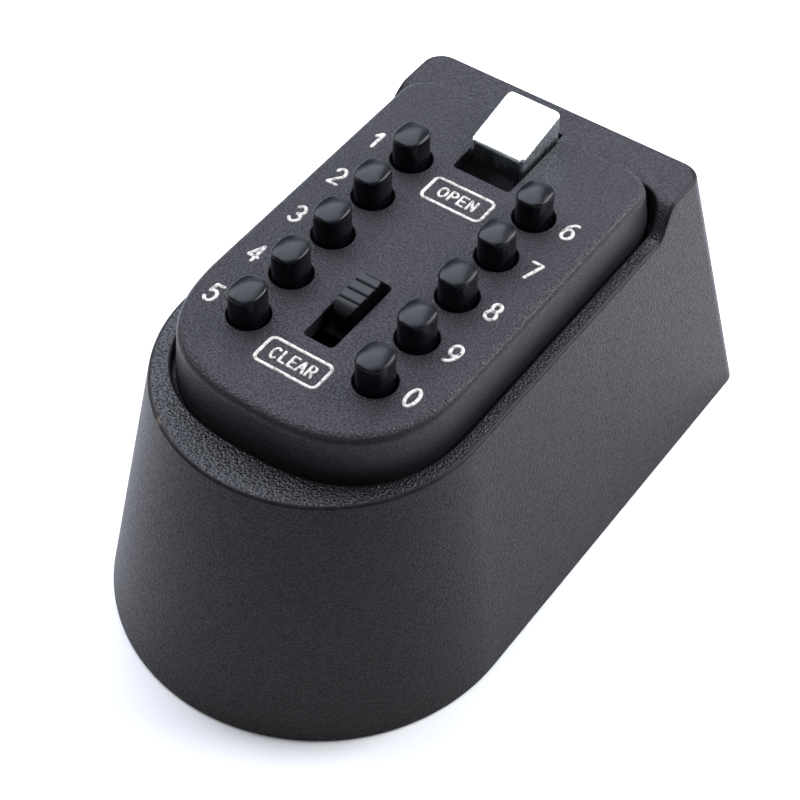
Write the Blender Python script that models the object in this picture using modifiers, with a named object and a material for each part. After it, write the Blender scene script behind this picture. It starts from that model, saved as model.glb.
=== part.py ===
"""Key lock box: a push-button key safe that screws to a wall by its flat back.

The box lies on its back. X runs across it, +Y runs to the hooded end that is the top on a wall,
and +Z runs out of the lid. The origin is the centre of the back face.
"""

import math

import bmesh
import bpy
from mathutils import Matrix, Vector

MM = 0.001

# Case: a drafted casting with a round lower end and a hood over the lid's upper end.
CASE_HALF_WIDTH = 31.8 * MM
CASE_HALF_LENGTH = 52.3 * MM
CASE_CORNER = 3.2 * MM
SIDE_DRAFT = 0.1603
ROUND_DRAFT = 0.2215
BACK_DRAFT = 0.174
LEDGE_Z = 42.4 * MM
HOOD_Z = 46.6 * MM
HOOD_FOOT_Y = 31.4 * MM
HOOD_LIP_Y = 34.8 * MM
FLOOR_Z = 3.0 * MM
SHELF_Z = 40.2 * MM
CAVITY_HALF_WIDTH = 20.5 * MM
CAVITY_END_Y = 34.3 * MM
TUB_WALL = 3.0 * MM
SHELL_WALL = 3.0 * MM
CORE_Z = 30.0 * MM
RECESS_HALF_WIDTH = 22.5 * MM
RECESS_FRONT_Y = -36.3 * MM
RECESS_BACK_Y = 36.4 * MM
NOTCH_HALF_WIDTH = 5.2 * MM
KEEPER_HALF_WIDTH = 2.8 * MM
KEEPER_BACK_Y = 38.7 * MM
WALL_HOLE_RADIUS = 2.6 * MM
WALL_HOLE_X = 12.0 * MM
WALL_HOLE_Y = 22.0 * MM
WALL_HOLES = tuple((x, y) for x in (-WALL_HOLE_X, WALL_HOLE_X) for y in (-WALL_HOLE_Y, WALL_HOLE_Y))

# Lid: a shallow shell whose round end is squarer than a half circle.
LID_TOP_Z = 50.0 * MM
LID_FOOT_Z = 40.5 * MM
LID_HALF_WIDTH = 22.0 * MM
LID_FRONT_Y = -35.8 * MM
LID_BACK_Y = 36.0 * MM
LID_SIDE_LEAN = 0.5 * MM
LID_FRONT_LEAN = 0.6 * MM
LID_BACK_LEAN = 1.5 * MM
LID_CORNER = 4.5 * MM
LID_EDGE = 1.6 * MM
LID_WALL = 2.2 * MM
LID_SKIN = 2.5 * MM
ROUND_CENTRE_Y = -14.0 * MM
ROUND_POWER = 2.6
LID_FOOT_NOTCH_TOP_Z = 43.9 * MM
TONGUE_HALF_WIDTH = 6.5 * MM
TONGUE_TIP_Y = -37.5 * MM
TONGUE_TIP_ROOT_Y = -34.0 * MM
TONGUE_FRONT_Y = -35.2 * MM
TONGUE_BACK_Y = -33.0 * MM
TONGUE_ROOT_Z = 42.5 * MM
TONGUE_LOW_Z = 36.4 * MM
TONGUE_HIGH_Z = 39.4 * MM
BOSS_RADIUS = 2.3 * MM
FIXING_X = 16.6 * MM
FIXING_FRONT_Y = -16.5 * MM
FIXING_BACK_Y = 12.9 * MM
FIXINGS = tuple((x, y) for y in (FIXING_FRONT_Y, FIXING_BACK_Y) for x in (-FIXING_X, FIXING_X))
SCREW_BORE_RADIUS = 1.2 * MM

# Keypad: two columns of five sprung buttons, each over a stem that sets whether it is in the code.
COLUMN_X = 10.75 * MM
ROW_PITCH = 9.8 * MM
TOP_ROW_Y = 17.8 * MM
ROWS = 5
HOLE_RADIUS = 3.17 * MM
BUTTON_RADIUS = 2.87 * MM
BUTTON_FLAT = 2.42 * MM
BUTTON_TOP_Z = 55.3 * MM
BUTTON_ROUND = 0.7 * MM
FLANGE_RADIUS = 3.6 * MM
FLANGE_LOW_Z = 46.0 * MM
FLANGE_HIGH_Z = 47.2 * MM
GUIDE_RADIUS = 1.9 * MM
GUIDE_LOW_Z = 38.6 * MM
SOCKET_RADIUS = 1.25 * MM
SOCKET_TOP_Z = 43.5 * MM
SPIGOT_RADIUS = 1.0 * MM
SPIGOT_TOP_Z = 43.0 * MM
STEM_RADIUS = 2.0 * MM
STEM_LOW_Z = 26.0 * MM
STEM_HIGH_Z = 38.3 * MM
STEM_WAIST_HIGH_Z = 35.6 * MM
DRIVER_SLOT_HALF_WIDTH = 0.35 * MM
DRIVER_SLOT_DEPTH = 0.9 * MM
GAP = 0.3 * MM

# Mechanism under the lid.
PLATE_LOW_Z = 39.5 * MM
PLATE_HIGH_Z = 41.0 * MM
PLATE_HALF_WIDTH = 18.8 * MM
PLATE_FRONT_Y = -30.5 * MM
PLATE_BACK_Y = 32.4 * MM
PLATE_CORNER = 11.0 * MM
GUIDE_HOLE_RADIUS = 2.2 * MM
ANCHOR_HALF_WIDTH = 1.1 * MM
ANCHOR_THICK = 1.2 * MM
OPEN_ANCHOR_Y = 31.2 * MM
CLEAR_ANCHOR_Y = 2.0 * MM
FOOT_WINDOW_HALF = 2.0 * MM
FOOT_WINDOW_FRONT_Y = -16.5 * MM
FOOT_WINDOW_BACK_Y = -7.6 * MM
LEG_WINDOW_HALF = 2.8 * MM
LEG_WINDOW_FRONT_Y = 21.2 * MM
LEG_WINDOW_BACK_Y = 28.4 * MM
LINK_WINDOW_FRONT_Y = 20.8 * MM
TRAY_HALF_WIDTH = 16.2 * MM
TRAY_CORNER = 6.0 * MM
TRAY_FRONT_Y = -30.6 * MM
TRAY_BACK_Y = 30.5 * MM
TRAY_LOW_Z = 25.5 * MM
TRAY_WALL = 1.4 * MM
TRAY_FLOOR = 1.5 * MM
STEM_HOLE_RADIUS = 2.5 * MM
EAR_HALF_LENGTH = 2.6 * MM
EAR_ROOT_X = 15.1 * MM
EAR_TIP_X = 19.2 * MM
EAR_THICK = 1.5 * MM
SCREW_HEAD_RADIUS = 1.9 * MM
SCREW_HEAD_THICK = 1.2 * MM
SCREW_HEAD_ROOM = 2.3 * MM
SCREW_SHANK_RADIUS = 0.9 * MM
SCREW_TIP_Z = 46.5 * MM
SCREW_SLOT_HALF_WIDTH = 0.3 * MM
SCREW_SLOT_DEPTH = 0.6 * MM
SLIDE_HALF_WIDTH = 14.2 * MM
SLIDE_CORNER = 4.2 * MM
SLIDE_FRONT_Y = -24.6 * MM
HOLD_LOW_Z = 36.2 * MM
HOLD_BACK_Y = 26.5 * MM
GATE_LOW_Z = 31.5 * MM
GATE_BACK_Y = 28.6 * MM
SLIDE_THICK = 1.1 * MM
STEM_SLOT_HALF = 2.35 * MM
CLEAR_TRAVEL = 4.2 * MM
OPEN_TRAVEL = 3.0 * MM

# Lever and slider on the lid.
LEVER_HALF_WIDTH = 4.6 * MM
LEVER_FRONT_Y = 24.0 * MM
LEVER_BACK_Y = 34.6 * MM
LEVER_LOW_Z = 48.0 * MM
LEVER_FRONT_Z = 52.6 * MM
LEVER_BACK_Z = 55.0 * MM
LEVER_SLOT_HALF = 4.9 * MM
LEVER_EDGE = 0.7 * MM
LEVER_NECK_HALF_WIDTH = 2.6 * MM
LEVER_NECK_FRONT_Y = 25.2 * MM
LEVER_NECK_BACK_Y = 31.0 * MM
LEVER_SLOT_FRONT_Y = 20.1 * MM
LEVER_SLOT_CORNER = 0.5 * MM
BOLT_HALF_WIDTH = 4.5 * MM
BOLT_ROOT_Y = 22.0 * MM
BOLT_SHOULDER_Y = 35.4 * MM
BOLT_TIP_Y = 38.2 * MM
BOLT_NOSE_HALF_WIDTH = 2.5 * MM
BOLT_LOW_Z = 41.4 * MM
BOLT_HIGH_Z = 43.4 * MM
BOLT_LEG_HALF_WIDTH = 2.4 * MM
BOLT_LEG_FRONT_Y = 24.5 * MM
BOLT_LEG_BACK_Y = 28.0 * MM
OPEN_EAR_INNER_X = 4.0 * MM
OPEN_EAR_OUTER_X = 7.2 * MM
OPEN_EAR_FRONT_Y = 22.2 * MM
OPEN_EAR_BACK_Y = 23.3 * MM
KNOB_HALF_WIDTH = 1.75 * MM
KNOB_FRONT_Y = -14.6 * MM
KNOB_BACK_Y = -6.9 * MM
KNOB_TOP_Z = 51.9 * MM
KNOB_EDGE = 0.5 * MM
KNOB_TREADS = 4
KNOB_GROOVE_HALF = 0.25 * MM
KNOB_GROOVE_DEPTH = 0.35 * MM
CLEAR_FLANGE_HALF_WIDTH = 4.4 * MM
CLEAR_FLANGE_FRONT_Y = -15.8 * MM
CLEAR_FLANGE_BACK_Y = -3.2 * MM
CLEAR_FLANGE_THICK = 1.3 * MM
CLEAR_FOOT_HALF_WIDTH = 1.6 * MM
CLEAR_FOOT_FRONT_Y = -12.0 * MM
CLEAR_FOOT_BACK_Y = -8.0 * MM
CLEAR_FOOT_ROOT_Z = 46.5 * MM
CLEAR_EAR_INNER_X = 1.0 * MM
CLEAR_EAR_OUTER_X = 4.0 * MM
CLEAR_EAR_FRONT_Y = -9.2 * MM
CLEAR_EAR_BACK_Y = -8.1 * MM
CLEAR_SLOT_CORNER = 0.7 * MM
CLEAR_SLOT_HALF = 2.5 * MM
CLEAR_SLOT_FRONT_Y = -20.0 * MM
CLEAR_SLOT_BACK_Y = -5.7 * MM

BUTTON_SPRING_RADIUS = 2.6 * MM
BUTTON_WIRE = 0.22 * MM
RETURN_SPRING_RADIUS = 0.95 * MM
RETURN_WIRE = 0.18 * MM
OPEN_SPRING_X = 6.3 * MM
CLEAR_SPRING_X = 3.0 * MM
RETURN_SPRING_Z = 42.9 * MM
SPRING_EAR_TOP_Z = RETURN_SPRING_Z + 1.2 * MM

END_STEPS = 32
CORNER_STEPS = 6
SLOT_STEPS = 3
ROUND_STEPS = 24
SMALL_STEPS = 20
BORE_STEPS = 16
SPIGOT_STEPS = 12
EDGE_STEPS = 4
BUTTON_TURNS = 3
RETURN_TURNS = 5
POINTS_PER_TURN = 8
FAR = 5.0 * MM

COLOURS = {
    "case_paint": ((0.052, 0.048, 0.050), 0.55, 0.0),
    "lid_paint": ((0.050, 0.048, 0.052), 0.5, 0.0),
    "button_plastic": ((0.010, 0.010, 0.011), 0.3, 0.0),
    "slider_plastic": ((0.014, 0.014, 0.014), 0.45, 0.0),
    "lever_metal": ((0.80, 0.81, 0.80), 0.14, 1.0),
    "plate_steel": ((0.55, 0.56, 0.57), 0.35, 1.0),
    "tray_plastic": ((0.030, 0.030, 0.032), 0.5, 0.0),
    "spring_steel": ((0.50, 0.50, 0.50), 0.3, 1.0),
    "screw_steel": ((0.45, 0.45, 0.46), 0.35, 1.0),
    "code_brass": ((0.72, 0.53, 0.22), 0.3, 1.0),
}


def clear_scene():
    for item in list(bpy.data.objects):
        bpy.data.objects.remove(item, do_unlink=True)


def new_collection(name):
    found = bpy.data.collections.new(name)
    bpy.context.scene.collection.children.link(found)
    return found


def make_material(name):
    colour, roughness, metallic = COLOURS[name]
    material = bpy.data.materials.new(name)
    material.use_nodes = True
    shader = material.node_tree.nodes["Principled BSDF"]
    shader.inputs["Base Color"].default_value = (*colour, 1.0)
    shader.inputs["Roughness"].default_value = roughness
    shader.inputs["Metallic"].default_value = metallic
    return material


def keep(name, bm, slot):
    """Puts the mesh in the scene: a part when it has a material slot, and a cutter when it has none."""
    bmesh.ops.recalc_face_normals(bm, faces=bm.faces)
    mesh = bpy.data.meshes.new(name)
    bm.to_mesh(mesh)
    bm.free()
    made = bpy.data.objects.new(name, mesh)
    if slot:
        mesh.materials.append(MATERIALS[slot])
        PARTS.objects.link(made)
    else:
        made.hide_render = True
        made.display_type = "WIRE"
        CUTTERS.objects.link(made)
    return made


def add_box(bm, low, high):
    low, high = Vector(low), Vector(high)
    size = high - low
    place = Matrix.Translation((low + high) / 2) @ Matrix.Diagonal((*size, 1.0))
    bmesh.ops.create_cube(bm, size=1.0, matrix=place)


def add_rod(bm, x, y, low_z, high_z, radius, steps=ROUND_STEPS):
    place = Matrix.Translation((x, y, (low_z + high_z) / 2))
    bmesh.ops.create_cone(bm, cap_ends=True, segments=steps, radius1=radius, radius2=radius,
                          depth=high_z - low_z, matrix=place)


def add_loft(bm, rings):
    """Joins closed rings of equally many points into one capped skin."""
    rows = [[bm.verts.new(point) for point in ring] for ring in rings]
    count = len(rows[0])
    for lower, upper in zip(rows, rows[1:]):
        for i in range(count):
            j = (i + 1) % count
            bm.faces.new((lower[i], lower[j], upper[j], upper[i]))
    bm.faces.new(rows[0])
    bm.faces.new(rows[-1])


def arc(centre_x, centre_y, radius, start, end, steps):
    points = []
    for i in range(steps + 1):
        angle = math.radians(start + (end - start) * i / steps)
        points.append((centre_x + radius * math.cos(angle), centre_y + radius * math.sin(angle)))
    return points


def round_end(half_width, centre_y, reach, power):
    """Half of a superellipse, from +X round the -Y end to -X. Power 2 is an ellipse."""
    points = []
    for i in range(END_STEPS + 1):
        angle = math.pi * i / END_STEPS
        across = math.copysign(abs(math.cos(angle)) ** (2 / power), math.cos(angle))
        along = math.sin(angle) ** (2 / power)
        points.append((half_width * across, centre_y - reach * along))
    return points


def end_outline(half_width, front_y, back_y, corner, centre_y, power):
    points = round_end(half_width, centre_y, centre_y - front_y, power)
    points += arc(corner - half_width, back_y - corner, corner, 180, 90, CORNER_STEPS)
    points += arc(half_width - corner, back_y - corner, corner, 90, 0, CORNER_STEPS)
    return points


def case_ring(z, inset=0.0):
    half_width = CASE_HALF_WIDTH - SIDE_DRAFT * z - inset
    front_y = -CASE_HALF_LENGTH + ROUND_DRAFT * z + inset
    back_y = CASE_HALF_LENGTH - BACK_DRAFT * z - inset
    points = end_outline(half_width, front_y, back_y, CASE_CORNER, front_y + half_width, 2.0)
    return [(x, y, z) for x, y in points]


def lid_ring(z, half_width, front_y, back_y, corner=LID_CORNER):
    points = end_outline(half_width, front_y, back_y, corner, ROUND_CENTRE_Y, ROUND_POWER)
    return [(x, y, z) for x, y in points]


def rounded_slot(bm, low, high, radius):
    """A box whose upright edges are rounded."""
    points = []
    for x, y, start in ((high[0] - radius, high[1] - radius, 0), (low[0] + radius, high[1] - radius, 90),
                        (low[0] + radius, low[1] + radius, 180), (high[0] - radius, low[1] + radius, 270)):
        points += arc(x, y, radius, start, start + 90, SLOT_STEPS)
    add_loft(bm, [[(x, y, z) for x, y in points] for z in (low[2], high[2])])


def change(part, operation, other):
    modifier = part.modifiers.new(operation.title() + " " + other.name, "BOOLEAN")
    modifier.operation = operation
    modifier.object = other
    modifier.solver = "EXACT"


def cut(part, name, bm):
    change(part, "DIFFERENCE", keep(name, bm, None))


def join(part, name, bm):
    change(part, "UNION", keep(name, bm, None))


def button_places():
    """(digit, x, y): 1 to 5 down the -X column, then 6 to 9 and 0 down the +X column."""
    for column, x in enumerate((-COLUMN_X, COLUMN_X)):
        for row in range(ROWS):
            yield (column * ROWS + row + 1) % 10, x, TOP_ROW_Y - row * ROW_PITCH


def make_case():
    bm = bmesh.new()
    add_loft(bm, [case_ring(0.0), case_ring(HOOD_Z)])
    case = keep("case", bm, "case_paint")

    bm = bmesh.new()
    lean = (HOOD_LIP_Y - HOOD_FOOT_Y) / (HOOD_Z - LEDGE_Z)
    over_y = HOOD_LIP_Y + lean * FAR
    outline = ((-CASE_HALF_LENGTH - FAR, LEDGE_Z), (HOOD_FOOT_Y, LEDGE_Z), (over_y, HOOD_Z + FAR),
               (-CASE_HALF_LENGTH - FAR, HOOD_Z + FAR))
    add_loft(bm, [[(x, y, z) for y, z in outline] for x in (-CASE_HALF_WIDTH, CASE_HALF_WIDTH)])
    cut(case, "ledge_cutter", bm)

    bm = bmesh.new()
    add_loft(bm, [lid_ring(z, RECESS_HALF_WIDTH, RECESS_FRONT_Y, RECESS_BACK_Y)
                  for z in (SHELF_Z, HOOD_Z + FAR)])
    cut(case, "lid_recess_cutter", bm)

    cut(case, "key_cavity_cutter", key_cavity())

    bm = bmesh.new()
    add_box(bm, (-KEEPER_HALF_WIDTH, CAVITY_END_Y - FAR, BOLT_LOW_Z - 2 * GAP),
            (KEEPER_HALF_WIDTH, KEEPER_BACK_Y, HOOD_Z + FAR))
    cut(case, "keeper_cutter", bm)

    bm = bmesh.new()
    add_box(bm, (-TONGUE_HALF_WIDTH - FAR / 3, TONGUE_TIP_Y - 3 * GAP, TONGUE_LOW_Z - 3 * GAP),
            (TONGUE_HALF_WIDTH + FAR / 3, -CAVITY_END_Y + FAR, LEDGE_Z - 5 * GAP))
    cut(case, "tongue_recess_cutter", bm)

    bm = bmesh.new()
    add_loft(bm, [case_ring(-FAR, SHELL_WALL), case_ring(CORE_Z, SHELL_WALL)])
    cut(case, "shell_hollow_cutter", bm)


def key_cavity():
    """The space for the keys, from the tub's floor up through the shelf that the lid stands on."""
    bm = bmesh.new()
    floor_ring = lid_ring(FLOOR_Z, CAVITY_HALF_WIDTH - GAP, -CAVITY_END_Y, CAVITY_END_Y)
    top_ring = lid_ring(SHELF_Z + FAR / 2, CAVITY_HALF_WIDTH, -CAVITY_END_Y, CAVITY_END_Y)
    add_loft(bm, [floor_ring, top_ring])
    return bm


def make_key_tub():
    """The floor and walls that hold the keys. The case closes it above, and wall screws go through its floor."""
    bm = bmesh.new()
    half_width = CAVITY_HALF_WIDTH + TUB_WALL
    end_y = CAVITY_END_Y + TUB_WALL
    add_loft(bm, [lid_ring(z, half_width, -end_y, end_y) for z in (0.0, CORE_Z)])
    tub = keep("key_tub", bm, "case_paint")
    cut(tub, "tub_cavity_cutter", key_cavity())
    bm = bmesh.new()
    for x, y in WALL_HOLES:
        add_rod(bm, x, y, -FAR, FLOOR_Z + FAR, WALL_HOLE_RADIUS, SMALL_STEPS)
    cut(tub, "wall_hole_cutter", bm)


def lid_sections():
    """The lid's outer rings from its foot to its rounded upper edge."""
    rings = [lid_ring(LID_FOOT_Z, LID_HALF_WIDTH, LID_FRONT_Y, LID_BACK_Y)]
    for i in range(EDGE_STEPS + 1):
        angle = math.radians(90 * i / EDGE_STEPS)
        inset = LID_EDGE * (1 - math.cos(angle))
        z = LID_TOP_Z - LID_EDGE + LID_EDGE * math.sin(angle)
        half_width = LID_HALF_WIDTH - LID_SIDE_LEAN - inset
        front_y = LID_FRONT_Y + LID_FRONT_LEAN + inset
        rings.append(lid_ring(z, half_width, front_y, LID_BACK_Y - LID_BACK_LEAN - inset / 4))
    return rings


def make_lid():
    bm = bmesh.new()
    add_loft(bm, lid_sections())
    lid = keep("lid_cover", bm, "lid_paint")

    bm = bmesh.new()
    half_width = LID_HALF_WIDTH - LID_WALL
    back_y = LID_BACK_Y - LID_WALL - GAP
    add_loft(bm, [lid_ring(z, half_width, LID_FRONT_Y + LID_WALL, back_y)
                  for z in (LID_FOOT_Z - FAR, LID_TOP_Z - LID_SKIN)])
    cut(lid, "lid_inside_cutter", bm)
    add_lid_bosses(lid)
    cut_lid_openings(lid)


def add_lid_bosses(lid):
    """Bosses for the mechanism's screws, and the tongue that the lid turns on."""
    bm = bmesh.new()
    for x, y in FIXINGS:
        add_rod(bm, x, y, PLATE_HIGH_Z + GAP, LID_TOP_Z - LID_SKIN / 2, BOSS_RADIUS, SMALL_STEPS)
    add_box(bm, (-TONGUE_HALF_WIDTH, TONGUE_FRONT_Y, TONGUE_LOW_Z),
            (TONGUE_HALF_WIDTH, TONGUE_BACK_Y, TONGUE_ROOT_Z))
    join(lid, "lid_bosses", bm)

    bm = bmesh.new()
    add_box(bm, (-TONGUE_HALF_WIDTH + GAP, TONGUE_TIP_Y, TONGUE_LOW_Z + GAP),
            (TONGUE_HALF_WIDTH - GAP, TONGUE_TIP_ROOT_Y, TONGUE_HIGH_Z))
    join(lid, "tongue_tip", bm)

    bm = bmesh.new()
    for x, y in FIXINGS:
        add_rod(bm, x, y, LID_FOOT_Z - FAR, LID_TOP_Z - LID_SKIN - GAP, SCREW_BORE_RADIUS, BORE_STEPS)
    cut(lid, "boss_bore_cutter", bm)


def cut_lid_openings(lid):
    """The button holes, the two slots, and the notch that the bolt passes through."""
    bm = bmesh.new()
    for _, x, y in button_places():
        add_rod(bm, x, y, LID_TOP_Z - LID_SKIN - FAR / 3, LID_TOP_Z + FAR, HOLE_RADIUS)
    cut(lid, "button_hole_cutter", bm)

    bm = bmesh.new()
    under_skin = LID_TOP_Z - LID_SKIN - GAP
    over_skin = LID_TOP_Z + FAR
    rounded_slot(bm, (-CLEAR_SLOT_HALF, CLEAR_SLOT_FRONT_Y, under_skin),
                 (CLEAR_SLOT_HALF, CLEAR_SLOT_BACK_Y, over_skin), CLEAR_SLOT_CORNER)
    rounded_slot(bm, (-LEVER_SLOT_HALF, LEVER_SLOT_FRONT_Y, under_skin),
                 (LEVER_SLOT_HALF, LID_BACK_Y + FAR, over_skin), LEVER_SLOT_CORNER)
    add_box(bm, (-NOTCH_HALF_WIDTH, LID_BACK_Y - FAR, LID_FOOT_Z - FAR),
            (NOTCH_HALF_WIDTH, LID_BACK_Y + FAR, LID_FOOT_NOTCH_TOP_Z))
    cut(lid, "lid_slot_cutter", bm)


def button_ring(z, shrink):
    """One ring of the cap, which is round with a flat on each side."""
    flat = BUTTON_FLAT - shrink
    ring = arc(0.0, 0.0, BUTTON_RADIUS - shrink, 0, 360 - 360 / ROUND_STEPS, ROUND_STEPS - 1)
    return [(max(-flat, min(flat, x)), y, z) for x, y in ring]


def make_button(digit, x, y):
    """A flatted cap, a flange that keeps it in the lid, and a hollow guide below."""
    name = "button_%d" % digit
    side_z = BUTTON_TOP_Z - BUTTON_ROUND
    rings = [button_ring(FLANGE_HIGH_Z - GAP, 0.0)]
    for i in range(EDGE_STEPS + 1):
        angle = math.radians(90 * i / EDGE_STEPS)
        rings.append(button_ring(side_z + BUTTON_ROUND * math.sin(angle), BUTTON_ROUND * (1 - math.cos(angle))))
    bm = bmesh.new()
    add_loft(bm, rings)
    button = keep(name, bm, "button_plastic")

    bm = bmesh.new()
    add_rod(bm, 0.0, 0.0, FLANGE_LOW_Z, FLANGE_HIGH_Z, FLANGE_RADIUS)
    join(button, name + "_flange", bm)
    bm = bmesh.new()
    add_rod(bm, 0.0, 0.0, GUIDE_LOW_Z, FLANGE_HIGH_Z - GAP, GUIDE_RADIUS, BORE_STEPS)
    join(button, name + "_guide", bm)
    bm = bmesh.new()
    add_rod(bm, 0.0, 0.0, GUIDE_LOW_Z - FAR, SOCKET_TOP_Z, SOCKET_RADIUS, BORE_STEPS)
    cut(button, name + "_socket", bm)
    move_with_tools(button, x, y)


def move_with_tools(part, x, y):
    """Moves a part and the bodies that its Booleans use."""
    for piece in (part, *[modifier.object for modifier in part.modifiers]):
        piece.location = (x, y, 0.0)


def make_code_stem(digit, x, y):
    """A stem waisted on one side, with a spigot above and a driver slot below."""
    name = "code_stem_%d" % digit
    bm = bmesh.new()
    add_rod(bm, 0.0, 0.0, STEM_LOW_Z, STEM_HIGH_Z, STEM_RADIUS, SMALL_STEPS)
    stem = keep(name, bm, "code_brass")
    bm = bmesh.new()
    add_rod(bm, 0.0, 0.0, STEM_HIGH_Z - GAP, SPIGOT_TOP_Z, SPIGOT_RADIUS, SPIGOT_STEPS)
    join(stem, name + "_spigot", bm)
    bm = bmesh.new()
    add_box(bm, (STEM_RADIUS / 2, -FAR, GATE_LOW_Z - GAP), (FAR, FAR, STEM_WAIST_HIGH_Z))
    add_box(bm, (-FAR, -DRIVER_SLOT_HALF_WIDTH, STEM_LOW_Z - FAR),
            (FAR, DRIVER_SLOT_HALF_WIDTH, STEM_LOW_Z + DRIVER_SLOT_DEPTH))
    cut(stem, name + "_cuts", bm)
    move_with_tools(stem, x, y)


def make_coil(name, turns, radius, wire, length):
    """A coil spring along its own +Z from its origin."""
    count = turns * POINTS_PER_TURN
    curve = bpy.data.curves.new(name, "CURVE")
    curve.dimensions = "3D"
    curve.bevel_depth = wire
    curve.bevel_resolution = 1
    curve.use_fill_caps = True
    spline = curve.splines.new("POLY")
    spline.points.add(count)
    for i in range(count + 1):
        angle = 2 * math.pi * i / POINTS_PER_TURN
        rise = wire + (length - 2 * wire) * i / count
        spline.points[i].co = (radius * math.cos(angle), radius * math.sin(angle), rise, 1.0)
    curve.materials.append(MATERIALS["spring_steel"])
    coil = bpy.data.objects.new(name, curve)
    PARTS.objects.link(coil)
    return coil


def make_button_spring(digit, x, y):
    low_z = PLATE_HIGH_Z + GAP
    length = FLANGE_LOW_Z - GAP - low_z
    coil = make_coil("button_spring_%d" % digit, BUTTON_TURNS, BUTTON_SPRING_RADIUS, BUTTON_WIRE, length)
    coil.location = (x, y, low_z)


def make_return_spring(name, x, ear_y, anchor_y):
    """A spring between an ear that slides and an anchor on the chassis plate."""
    start_y = ear_y + GAP
    length = anchor_y - GAP - start_y
    coil = make_coil(name, RETURN_TURNS, RETURN_SPRING_RADIUS, RETURN_WIRE, length)
    coil.location = (x, start_y, RETURN_SPRING_Z)
    coil.rotation_euler = (math.radians(-90), 0.0, 0.0)


def make_chassis_plate():
    """The plate that the lid's bosses carry. It guides the buttons and anchors the return springs."""
    bm = bmesh.new()
    rounded_slot(bm, (-PLATE_HALF_WIDTH, PLATE_FRONT_Y, PLATE_LOW_Z),
                 (PLATE_HALF_WIDTH, PLATE_BACK_Y, PLATE_HIGH_Z), PLATE_CORNER)
    plate = keep("chassis_plate", bm, "plate_steel")

    bm = bmesh.new()
    for x, y in ((OPEN_SPRING_X, OPEN_ANCHOR_Y), (CLEAR_SPRING_X, CLEAR_ANCHOR_Y)):
        add_box(bm, (x - ANCHOR_HALF_WIDTH, y, PLATE_HIGH_Z - GAP),
                (x + ANCHOR_HALF_WIDTH, y + ANCHOR_THICK, SPRING_EAR_TOP_Z))
    join(plate, "spring_anchors", bm)

    bm = bmesh.new()
    below = PLATE_LOW_Z - FAR
    above = PLATE_HIGH_Z + GAP
    for _, x, y in button_places():
        add_rod(bm, x, y, below, above, GUIDE_HOLE_RADIUS, SMALL_STEPS)
    for x, y in FIXINGS:
        add_rod(bm, x, y, below, above, SCREW_BORE_RADIUS, BORE_STEPS)
    add_box(bm, (-FOOT_WINDOW_HALF, FOOT_WINDOW_FRONT_Y, below), (FOOT_WINDOW_HALF, FOOT_WINDOW_BACK_Y, above))
    add_box(bm, (-LEG_WINDOW_HALF, LEG_WINDOW_FRONT_Y, below), (LEG_WINDOW_HALF, LEG_WINDOW_BACK_Y, above))
    cut(plate, "chassis_plate_cutter", bm)


def make_mechanism_tray():
    """The tray over the back of the mechanism, open to the lid, with a hole at each code stem."""
    top = PLATE_LOW_Z - GAP
    bm = bmesh.new()
    rounded_slot(bm, (-TRAY_HALF_WIDTH, TRAY_FRONT_Y, TRAY_LOW_Z),
                 (TRAY_HALF_WIDTH, TRAY_BACK_Y, top), TRAY_CORNER)
    tray = keep("mechanism_tray", bm, "tray_plastic")

    bm = bmesh.new()
    for side_x, y in FIXINGS:
        ends = sorted((math.copysign(EAR_ROOT_X, side_x), math.copysign(EAR_TIP_X, side_x)))
        add_box(bm, (ends[0], y - EAR_HALF_LENGTH, top - EAR_THICK), (ends[1], y + EAR_HALF_LENGTH, top))
    join(tray, "tray_ears", bm)

    inner = TRAY_HALF_WIDTH - TRAY_WALL
    bm = bmesh.new()
    rounded_slot(bm, (-inner, TRAY_FRONT_Y + TRAY_WALL, TRAY_LOW_Z + TRAY_FLOOR),
                 (inner, TRAY_BACK_Y - TRAY_WALL, PLATE_LOW_Z + FAR), TRAY_CORNER - TRAY_WALL)
    cut(tray, "tray_inside_cutter", bm)

    bm = bmesh.new()
    for _, x, y in button_places():
        add_rod(bm, x, y, TRAY_LOW_Z - FAR, TRAY_LOW_Z + FAR, STEM_HOLE_RADIUS, SMALL_STEPS)
    for x, y in FIXINGS:
        add_rod(bm, x, y, TRAY_LOW_Z - FAR, top - EAR_THICK, SCREW_HEAD_ROOM, SMALL_STEPS)
    cut(tray, "stem_hole_cutter", bm)

    bm = bmesh.new()
    for x, y in FIXINGS:
        add_rod(bm, x, y, TRAY_LOW_Z + FAR, PLATE_LOW_Z + FAR, SCREW_BORE_RADIUS, BORE_STEPS)
    cut(tray, "ear_hole_cutter", bm)


def make_screw(number, x, y):
    """One of the screws that hold the tray and the chassis plate to the lid's bosses."""
    name = "mechanism_screw_%d" % number
    head_top = PLATE_LOW_Z - 2 * GAP - EAR_THICK
    head_low = head_top - SCREW_HEAD_THICK
    bm = bmesh.new()
    add_rod(bm, x, y, head_low, head_top, SCREW_HEAD_RADIUS, BORE_STEPS)
    screw = keep(name, bm, "screw_steel")
    bm = bmesh.new()
    add_rod(bm, x, y, head_top - GAP, SCREW_TIP_Z, SCREW_SHANK_RADIUS, SPIGOT_STEPS)
    join(screw, name + "_shank", bm)
    bm = bmesh.new()
    add_box(bm, (x - SCREW_SLOT_HALF_WIDTH, y - FAR, head_low - FAR),
            (x + SCREW_SLOT_HALF_WIDTH, y + FAR, head_low + SCREW_SLOT_DEPTH))
    cut(screw, name + "_slot", bm)


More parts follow.
